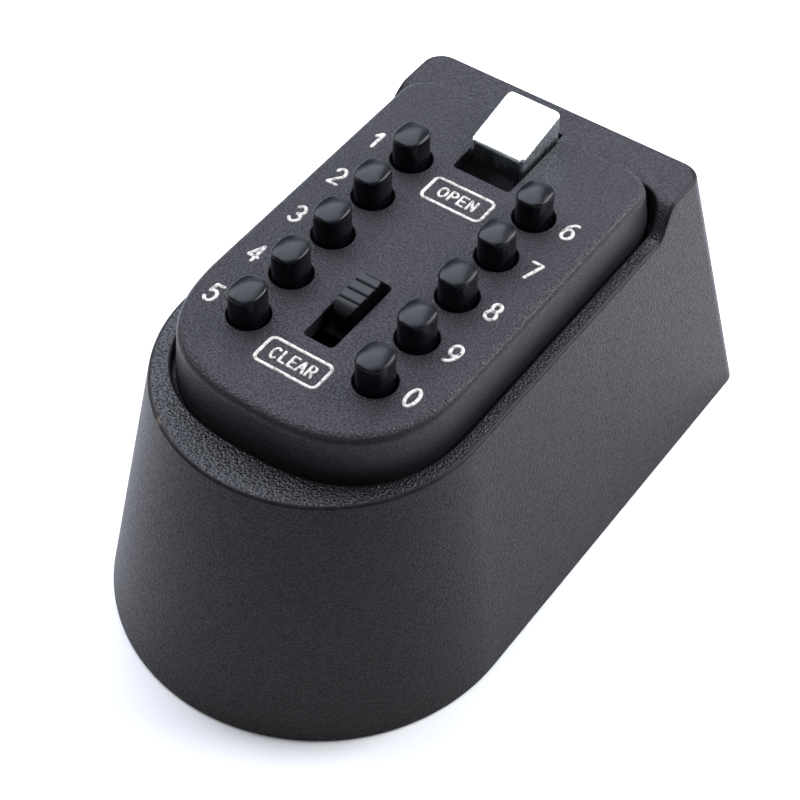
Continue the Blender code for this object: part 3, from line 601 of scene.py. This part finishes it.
def make_lid(coat, side):
    fixings = [(x, y) for x in (-FIXING_X, FIXING_X) for y in FIXING_YS]
    bosses = several([loft([circle(x, y, z, BOSS_RADIUS, 40) for z in (41.3 * MM, LID_TOP_Z - LID_SKIN / 2)])
                      for x, y in fixings])
    bores = several([loft([circle(x, y, z, BORE_RADIUS, 32) for z in (LID_FOOT_Z - FAR, LID_TOP_Z - LID_SKIN - 0.3 * MM)])
                     for x, y in fixings])
    root = box_bm((-TONGUE_HALF_WIDTH, -35.2 * MM, TONGUE_LOW_Z), (TONGUE_HALF_WIDTH, -33.0 * MM, 42.5 * MM))
    tip = box_bm((-TONGUE_HALF_WIDTH + 0.3 * MM, TONGUE_TIP_Y, TONGUE_LOW_Z + 0.3 * MM),
                 (TONGUE_HALF_WIDTH - 0.3 * MM, -34.0 * MM, TONGUE_HIGH_Z))
    holes = several([flared_hole(x, y) for _, x, y in button_centres()])
    clear_slot = flared_slot((-CLEAR_SLOT_HALF, CLEAR_SLOT_FRONT_Y), (CLEAR_SLOT_HALF, CLEAR_SLOT_BACK_Y), 0.7 * MM)
    lever_slot = flared_slot((-LEVER_SLOT_HALF, LEVER_SLOT_FRONT_Y), (LEVER_SLOT_HALF, LID_BACK_Y + FAR), 0.5 * MM)
    notch = box_bm((-NOTCH_HALF_WIDTH, LID_BACK_Y - FAR, LID_FOOT_Z - FAR), (NOTCH_HALF_WIDTH, LID_BACK_Y + FAR, 43.9 * MM))
    bm = carve(loft(lid_rings()), ("UNION", bosses), ("UNION", root), ("UNION", tip), ("DIFFERENCE", bores),
               ("DIFFERENCE", holes), ("DIFFERENCE", clear_slot), ("DIFFERENCE", lever_slot), ("DIFFERENCE", notch))
    # Faces that don't look up get the second coat: its darker colour is painted shade, its finer grain is texture.
    for face in bm.faces:
        face.material_index = int(face.normal.z < 0.8)
    return piece("lid_shell", bm, "lid", (coat, side), ("lid_cover",))


# ---------------------------------------------------------------- buttons

def button_ring(x, y, z, half_x, half_y, power=CAP_POWER):
    """The soft-cornered plan of a cap, flatter on its two X sides."""
    points = []
    for i in range(CIRCLE_STEPS):
        angle = 2 * math.pi * i / CIRCLE_STEPS
        across, along = math.cos(angle), math.sin(angle)
        px = math.copysign(abs(across) ** (2 / power), across)
        py = math.copysign(abs(along) ** (2 / power), along)
        points.append((x + half_x * px, y + half_y * py, z))
    return points


def cap_rings(x, y):
    """The cap from the flange up, over its soft edge and its pillowed crown."""
    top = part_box("button_1")[1].z
    rings = [button_ring(x, y, FLANGE_HIGH_Z, BUTTON_FLAT, BUTTON_RADIUS)]
    shoulder = top - BUTTON_CROWN - BUTTON_EDGE
    steps, turn = 12, math.radians(70)
    for i in range(steps + 1):
        angle = turn * i / steps
        shrink = BUTTON_EDGE * (1 - math.cos(angle))
        z = shoulder + BUTTON_EDGE * math.sin(angle)
        rings.append(button_ring(x, y, z, BUTTON_FLAT - shrink, BUTTON_RADIUS - shrink))
    start_z = rings[-1][0][2]
    inset = BUTTON_EDGE * (1 - math.cos(turn))
    for share in (0.9, 0.8, 0.68, 0.55, 0.4, 0.25, 0.1):
        z = start_z + (top - start_z) * (1 - share ** 2)
        power = 2 + (CAP_POWER - 2) * share
        rings.append(button_ring(x, y, z, (BUTTON_FLAT - inset) * share, (BUTTON_RADIUS - inset) * share, power))
    return rings


def make_button(digit, x, y, plastic):
    low_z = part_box("button_%d" % digit)[0].z
    edge = 0.15 * MM
    rings = [circle(x, y, SOCKET_TOP_Z, SOCKET_RADIUS), circle(x, y, low_z, SOCKET_RADIUS),
             circle(x, y, low_z, GUIDE_RADIUS - edge), circle(x, y, low_z + edge, GUIDE_RADIUS),
             circle(x, y, FLANGE_LOW_Z, GUIDE_RADIUS),
             circle(x, y, FLANGE_LOW_Z, FLANGE_RADIUS - edge), circle(x, y, FLANGE_LOW_Z + edge, FLANGE_RADIUS),
             circle(x, y, FLANGE_HIGH_Z - edge, FLANGE_RADIUS), circle(x, y, FLANGE_HIGH_Z, FLANGE_RADIUS - edge)]
    name = "button_%d" % digit
    return piece("cap_%d" % digit, loft(rings + cap_rings(x, y)), name, (plastic,), (name,))


# ---------------------------------------------------------------- lever and slider

def make_lever(metal):
    """The finger pad: rounded corners, a sloping top with a soft edge, and a neck down to the bolt."""
    low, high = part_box("open_lever")
    pad_low_z, front_top, edge = 48.0 * MM, 52.6 * MM, 0.42 * MM
    slope = (high.z - front_top) / (high.y - low.y)
    rings = []

    def ring(height_of, inset, radius):
        plan = rounded_rectangle((low.x + inset, low.y + inset), (high.x - inset, high.y - inset), radius - inset, 8)
        return [(x, y, height_of(y)) for x, y in plan]

    def top(y):
        return front_top + slope * (y - low.y)

    radius = 0.85 * MM
    rings.append(ring(lambda y: pad_low_z, 0.2 * MM, radius))
    rings.append(ring(lambda y: pad_low_z + 0.2 * MM, 0.0, radius))
    for i in range(ROUND_STEPS + 1):
        angle = math.pi / 2 * i / ROUND_STEPS
        drop = edge * (1 - math.sin(angle))
        rings.append(ring(lambda y, drop=drop: top(y) - drop, edge * (1 - math.cos(angle)), radius))
    neck = box_bm((-2.6 * MM, 25.2 * MM, low.z), (2.6 * MM, 31.0 * MM, pad_low_z + 1 * MM))
    bm = carve(loft(rings), ("UNION", neck))
    return piece("lever_pad", bm, "opener", (metal,), ("open_lever",))


def knob_profile(front_y, back_y, low_z, top_z):
    """The knob seen from its side: four treads parted by narrow grooves."""
    pitch = (back_y - front_y) / 4
    points = [(front_y, low_z), (front_y, top_z - 1.5 * MM), (front_y + 0.25 * MM, top_z - 0.85 * MM),
              (front_y + 0.7 * MM, top_z - 0.36 * MM), (front_y + 1.2 * MM, top_z - 0.08 * MM)]
    for i in range(1, 4):
        y = front_y + i * pitch
        points += [(y - 0.22 * MM, top_z), (y - 0.12 * MM, top_z - 0.42 * MM), (y + 0.06 * MM, top_z - 0.42 * MM),
                   (y + 0.3 * MM, top_z - 0.06 * MM)]
    points += [(back_y - 0.45 * MM, top_z), (back_y - 0.12 * MM, top_z - 0.2 * MM), (back_y, top_z - 0.55 * MM),
               (back_y, low_z)]
    return points


def make_knob(plastic, shade_plastic):
    half = 1.75 * MM
    flange_top = LID_TOP_Z - LID_SKIN - 0.3 * MM
    top_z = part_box("clear_slider")[1].z
    profile = knob_profile(-14.6 * MM, -6.9 * MM, flange_top - 0.3 * MM, top_z)
    knob = loft([[(x, y, z) for y, z in profile] for x in (-half, half)])
    bmesh.ops.bevel(knob, geom=[e for e in knob.edges if e.calc_face_angle(0.0) > SHARP_ANGLE], offset=0.16 * MM,
                    segments=2, affect="EDGES", clamp_overlap=True)
    back = rounded_rectangle((-half, -14.6 * MM), (half, -6.9 * MM), 1.1 * MM, 8)
    plan = loft([[(x, y, z) for x, y in back] for z in (40.0 * MM, 60.0 * MM)])
    flange = box_bm((-4.4 * MM, -15.8 * MM, flange_top - 1.3 * MM), (4.4 * MM, -3.2 * MM, flange_top))
    foot = box_bm((-1.6 * MM, -12.0 * MM, 37.6 * MM), (1.6 * MM, -8.0 * MM, 46.5 * MM))
    ear = box_bm((1.0 * MM, -9.2 * MM, 41.6 * MM), (4.0 * MM, -8.1 * MM, 44.1 * MM))
    bm = carve(knob, ("INTERSECT", plan), ("UNION", flange), ("UNION", foot), ("UNION", ear))
    # Faces below the lid's top and faces that don't look up take the second, near-black dull plastic: painted shade for
    # the dark slot under the knob and for the knob's shaded front and sides.
    for face in bm.faces:
        shaded = face.calc_center_median().z < LID_TOP_Z - 2 * MM or face.normal.z < 0.15
        face.material_index = int(shaded)
    return piece("clear_knob", bm, "clearer", (plastic, shade_plastic), ("clear_slider",))


# ---------------------------------------------------------------- springs

def coil(name, start, along, length, turns, radius, wire, metal, body, node):
    """A spring of round wire with closed end turns, from start along a direction."""
    along = Vector(along)
    side = along.orthogonal().normalized()
    other = along.cross(side)
    per_turn, around = 28, 8
    count = turns * per_turn
    centres = []
    for i in range(count + 1):
        share = i / count
        closed = 0.12
        eased = min(max((share - closed) / (1 - 2 * closed), 0.0), 1.0)
        rise = wire + 2 * wire * min(share, closed) / closed * 0.5 + (length - 4 * wire) * eased
        rise += 2 * wire * max(share - 1 + closed, 0.0) / closed * 0.5
        angle = 2 * math.pi * i / per_turn
        out = side * math.cos(angle) + other * math.sin(angle)
        centres.append((Vector(start) + out * radius + along * rise, out))
    rings = []
    for centre, out in centres:
        rings.append([centre + wire * (out * math.cos(a) + along * math.sin(a))
                      for a in (2 * math.pi * k / around for k in range(around))])
    return piece(name, loft(rings), body, (metal,), (node,))


# ---------------------------------------------------------------- markings

def bow(cx, cy, rx, ry, start, end):
    """Points on part of an ellipse."""
    count = max(6, int(abs(end - start) / 10))
    turns = [math.radians(start + (end - start) * i / count) for i in range(count + 1)]
    return [(cx + rx * math.cos(a), cy + ry * math.sin(a)) for a in turns]


SIX_BOWL = bow(0.0, -0.38, 1.0, 0.62, 0, 360)
SIX_STEM = bow(0.75, -0.38, 1.75, 1.38, 88, 180)
GLYPHS = {
    "0": [bow(0.0, 0.0, 1.0, 1.0, 0, 360)],
    "1": [[(-0.75, 0.45), (0.2, 1.0), (0.2, -1.0)]],
    "2": [bow(0.0, 0.42, 0.95, 0.58, 165, -38) + [(-1.0, -1.0), (1.0, -1.0)]],
    "3": [bow(-0.05, 0.50, 0.88, 0.50, 150, -90), bow(-0.05, -0.48, 1.0, 0.52, 90, -150)],
    "4": [[(0.45, -1.0), (0.45, 1.0), (-1.05, -0.45), (1.0, -0.45)]],
    "5": [[(0.9, 1.0), (-0.65, 1.0), (-0.8, 0.12)] + bow(-0.05, -0.35, 1.0, 0.65, 135, -150)],
    "6": [SIX_BOWL, SIX_STEM],
    "7": [[(-1.0, 1.0), (1.0, 1.0), (-0.35, -1.0)]],
    "8": [bow(0.0, 0.5, 0.82, 0.5, 0, 360), bow(0.0, -0.48, 1.0, 0.52, 0, 360)],
    "9": [[(-x, -y) for x, y in SIX_BOWL], [(-x, -y) for x, y in SIX_STEM]],
    "A": [[(-1.0, -1.0), (0.0, 1.0), (1.0, -1.0)], [(-0.62, -0.3), (0.62, -0.3)]],
    "C": [bow(0.0, 0.0, 1.0, 1.0, 50, 310)],
    "E": [[(0.9, 1.0), (-0.8, 1.0), (-0.8, -1.0), (0.9, -1.0)], [(-0.8, 0.0), (0.6, 0.0)]],
    "L": [[(-0.8, 1.0), (-0.8, -1.0), (0.8, -1.0)]],
    "N": [[(-0.85, -1.0), (-0.85, 1.0), (0.85, -1.0), (0.85, 1.0)]],
    "O": [bow(0.0, 0.0, 1.0, 1.0, 0, 360)],
    "P": [[(-0.8, -1.0), (-0.8, 1.0)] + bow(0.2, 0.48, 0.7, 0.52, 90, -90) + [(-0.8, -0.04)]],
    "R": [[(-0.8, -1.0), (-0.8, 1.0)] + bow(0.2, 0.48, 0.7, 0.52, 90, -90) + [(-0.8, -0.04)],
          [(0.15, -0.04), (0.95, -1.0)]],
}
PROUD = 0.2 * MM
LETTER_HALF_HEIGHT = 0.98 * MM
LETTER_LINE = 0.215 * MM
FRAME_HALF_HEIGHT = 2.4 * MM
FRAME_LINE = 0.28 * MM


def rounded_corners(points, reach):
    """The polyline with each corner replaced by a short curve."""
    if len(points) < 3:
        return points
    found = [points[0]]
    for before, here, after in zip(points, points[1:], points[2:]):
        here, before, after = Vector(here), Vector(before), Vector(after)
        back, on = before - here, after - here
        a = here + back * min(reach / max(back.length, 1e-9), 0.5)
        b = here + on * min(reach / max(on.length, 1e-9), 0.5)
        for t in (0.0, 0.25, 0.5, 0.75, 1.0):
            found.append(tuple((1 - t) ** 2 * a + 2 * t * (1 - t) * here + t * t * b))
    return found + [points[-1]]


def stroke(points, half_width):
    """A half-sunk round stroke along plan points, with round ends, as a mesh on the lid's face."""
    closed = (Vector(points[0]) - Vector(points[-1])).length < half_width / 4
    line = [Vector(p) for p in (points[:-1] if closed else points)]
    curve = bpy.data.curves.new("stroke", "CURVE")
    curve.dimensions = "3D"
    curve.bevel_depth = half_width
    curve.bevel_resolution = 3
    curve.use_fill_caps = True
    stations = [(p, 1.0) for p in line]
    if not closed:
        for end, inner, at_start in ((line[0], line[1], True), (line[-1], line[-2], False)):
            out = (end - inner).normalized()
            tips = [(end + out * half_width * math.sin(math.radians(a)), math.cos(math.radians(a)))
                    for a in (25, 45, 62, 76, 86)]
            stations = tips[::-1] + stations if at_start else stations + tips
    spline = curve.splines.new("POLY")
    spline.points.add(len(stations) - 1)
    spline.use_cyclic_u = closed
    for point, (place, size) in zip(spline.points, stations):
        point.co = (place.x, place.y, 0.0, 1.0)
        point.radius = size
    made = bpy.data.objects.new("stroke", curve)
    bpy.context.scene.collection.objects.link(made)
    bpy.context.view_layer.update()
    mesh = bpy.data.meshes.new_from_object(made.evaluated_get(bpy.context.evaluated_depsgraph_get()))
    bpy.data.objects.remove(made, do_unlink=True)
    bm = bmesh.new()
    bm.from_mesh(mesh)
    bpy.data.meshes.remove(mesh)
    bm.transform(Matrix.Translation((0.0, 0.0, LID_TOP_Z)) @ Matrix.Diagonal((1.0, 1.0, PROUD / half_width, 1.0)))
    return bm


def glyph(text, x, y, half_width, half_height, line):
    """The strokes of one figure or letter, in plan."""
    strokes = []
    for points in GLYPHS[text]:
        placed = [(x + px * half_width, y + py * half_height) for px, py in points]
        strokes.append(stroke(rounded_corners(placed, line * 0.5), line))
    return strokes


def make_marking(name, strokes, paint):
    return piece(name, several(strokes), "lid", (paint,))


def make_digit(digit, x, y, paint):
    side = -1 if x < 0 else 1
    place_x = x + (5.85 * MM if side > 0 else -6.45 * MM)
    return make_marking("digit_%d" % digit, glyph(str(digit), place_x, y + 0.3 * MM, 0.78 * MM, 1.68 * MM, 0.295 * MM), paint)


def make_label(word, y, pitch, half_length, paint):
    """A word in a round-cornered frame."""
    strokes = []
    for i, letter in enumerate(word):
        x = (i - (len(word) - 1) / 2) * pitch - 0.2 * MM
        strokes += glyph(letter, x, y, pitch * 0.35, LETTER_HALF_HEIGHT, LETTER_LINE)
    plan = rounded_rectangle((-half_length - 0.2 * MM, y - FRAME_HALF_HEIGHT),
                             (half_length - 0.2 * MM, y + FRAME_HALF_HEIGHT), 0.9 * MM, 6)
    strokes.append(stroke(plan + [plan[0]], FRAME_LINE))
    return make_marking("label_" + word.lower(), strokes, paint)


# ---------------------------------------------------------------- mechanism

def dress(node, material):
    """Gives a carried-over CAD node its material."""
    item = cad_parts[node]
    for place in item.material_slots:
        place.material = material
    if not item.material_slots:
        item.data.materials.append(material)


# ---------------------------------------------------------------- studio

def area_light(name, place, target, size, power, colour=(1.0, 1.0, 1.0)):
    light = bpy.data.lights.new(name, "AREA")
    light.shape = "RECTANGLE"
    light.size, light.size_y = size
    light.energy = power
    light.color = colour
    made = bpy.data.objects.new(name, light)
    bpy.context.scene.collection.objects.link(made)
    made.location = place
    made.rotation_euler = (Vector(target) - Vector(place)).to_track_quat("-Z", "Y").to_euler()
    return made


def make_studio():
    world = bpy.data.worlds.new("studio")
    bpy.context.scene.world = world
    world.use_nodes = True
    background = world.node_tree.nodes["Background"]
    background.inputs["Color"].default_value = (0.85, 0.90, 1.0, 1.0)
    background.inputs["Strength"].default_value = 0.22
    area_light("overhead", (-0.27, 0.26, 0.58), (0.0, 0.0, 0.0), (0.6, 0.6), 6.8, (0.80, 0.84, 1.0))
    area_light("back_right", (0.26, 0.30, 0.28), (0.16, 0.16, 0.0), (0.3, 0.3), 3.4, (0.93, 0.95, 1.0))
    area_light("left", (-0.45, -0.05, 0.35), (-0.12, -0.02, 0.0), (0.3, 0.3), 1.5, (0.93, 0.95, 1.0))
    area_light("front_floor", (0.0, -0.32, 0.5), (0.0, -0.15, 0.0), (0.4, 0.3), 0.45)
    area_light("back", (-0.15, 0.8, 0.24), (0.0, 0.0, 0.05), (0.7, 0.2), 0.7, (0.9, 0.94, 1.0))

    bm = bmesh.new()
    bmesh.ops.create_grid(bm, x_segments=1, y_segments=1, size=3.0)
    mesh = bpy.data.meshes.new("floor")
    bm.to_mesh(mesh)
    bm.free()
    floor = bpy.data.objects.new("floor", mesh)
    bpy.context.scene.collection.objects.link(floor)
    material, tree, shader = new_material("floor")
    shader.inputs["Base Color"].default_value = (0.93, 0.93, 0.93, 1.0)
    shader.inputs["Roughness"].default_value = 0.9
    shader.inputs["Specular IOR Level"].default_value = 0.0
    mesh.materials.append(material)
    floor.location = (0.0, 0.0, -0.05 * MM)

    camera = bpy.data.cameras.new("camera")
    camera.lens = 99.70
    camera.sensor_width = 36.0
    camera.clip_start = 0.01
    made = bpy.data.objects.new("camera", camera)
    bpy.context.scene.collection.objects.link(made)
    made.location = (0.12723, -0.18443, 0.27012)
    made.rotation_euler = [math.radians(a) for a in (41.812, -0.482, 35.132)]
    bpy.context.scene.camera = made
    bpy.context.scene.view_settings.view_transform = "Standard"


# ---------------------------------------------------------------- the whole

CHIP_PLACE = (-13.0 * MM, -38.9 * MM, 42.4 * MM)

make_studio()
CASE_COAT = powder_coat("case_coat", (0.0086, 0.0070, 0.0083), 0.42, 3200.0, 0.09 * MM, 0.165, 0.3)
LEDGE_COAT = powder_coat("ledge_coat", (0.0045, 0.0039, 0.0046), 0.34, 2500.0, 0.24 * MM, 0.36, 0.4)
LID_COAT = powder_coat("lid_coat", (0.0195, 0.0185, 0.0220), 0.43, 3100.0, 0.22 * MM, 0.215, 0.45)
# The lid's walls and edge rounding: the darker colour is painted shade; the shallower grain is texture.
LID_SHADED_SIDE_COAT = powder_coat("lid_shaded_side_coat", (0.0160, 0.0150, 0.0180), 0.40, 3100.0, 0.08 * MM, 0.20, 0.25)
CREST_COAT = crest_material()
BUTTON_PLASTIC = moulded_plastic("button_black", (0.0026, 0.0027, 0.0042), 0.23, 0.21)
KNOB_PLASTIC = moulded_plastic("knob_black", (0.006, 0.006, 0.007), 0.36, 0.22)
# Near-black, dull plastic on the knob's lower and side faces: painted shade, not a finish of its own.
SLOT_SHADE_PLASTIC = moulded_plastic("slider_shade_black", (0.0015, 0.0015, 0.0016), 0.6, 0.04)
TRAY_PLASTIC = moulded_plastic("tray_black", (0.024, 0.024, 0.026), 0.5, 0.3)
LEVER_METAL = plated_metal()
PLATE_METAL = bare_metal("plate_steel_bare", (0.52, 0.53, 0.54), 0.34)
BOLT_METAL = bare_metal("bolt_blackened", (0.045, 0.045, 0.05), 0.45, metallic=0.3)
SPRING_METAL = bare_metal("spring_wire", (0.46, 0.46, 0.46), 0.3, (900.0, 900.0, 900.0))
SCREW_METAL = bare_metal("screw_zinc", (0.50, 0.51, 0.52), 0.32, (1200.0, 1200.0, 1200.0))
BRASS = bare_metal("stem_brass", (0.70, 0.50, 0.20), 0.28, (700.0, 700.0, 5000.0))
PAINT = marking_paint()

make_case(CASE_COAT, CREST_COAT, LEDGE_COAT, LID_COAT)
make_lid(LID_COAT, LID_SHADED_SIDE_COAT)
for number, button_x, button_y in button_centres():
    make_button(number, button_x, button_y, BUTTON_PLASTIC)
    make_digit(number, button_x, button_y, PAINT)
    dress("code_stem_%d" % number, BRASS)
    spring = coil("coil_%d" % number, (button_x, button_y, SPRING_FOOT_Z), (0, 0, 1), 4.4 * MM, 4, 2.6 * MM, 0.22 * MM,
                  SPRING_METAL, "lid", "button_spring_%d" % number)
    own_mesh(spring)
make_label("OPEN", 14.4 * MM, 1.68 * MM, 5.1 * MM, PAINT)
make_label("CLEAR", -25.2 * MM, 1.5 * MM, 5.2 * MM, PAINT)
make_lever(LEVER_METAL)
make_knob(KNOB_PLASTIC, SLOT_SHADE_PLASTIC)
coil("coil_open", (6.3 * MM, 23.6 * MM, 42.9 * MM), (0, 1, 0), 7.3 * MM, 9, 0.95 * MM, 0.18 * MM, SPRING_METAL, "lid",
     "open_spring")
coil("coil_clear", (3.0 * MM, -7.8 * MM, 42.9 * MM), (0, 1, 0), 9.5 * MM, 11, 0.95 * MM, 0.18 * MM, SPRING_METAL, "lid",
     "clear_spring")
for number in range(1, 5):
    dress("mechanism_screw_%d" % number, SCREW_METAL)
dress("chassis_plate", BOLT_METAL)
dress("hold_down_plate", PLATE_METAL)
dress("gate_plate", PLATE_METAL)
dress("latch_bolt", BOLT_METAL)
dress("mechanism_tray", TRAY_PLASTIC)
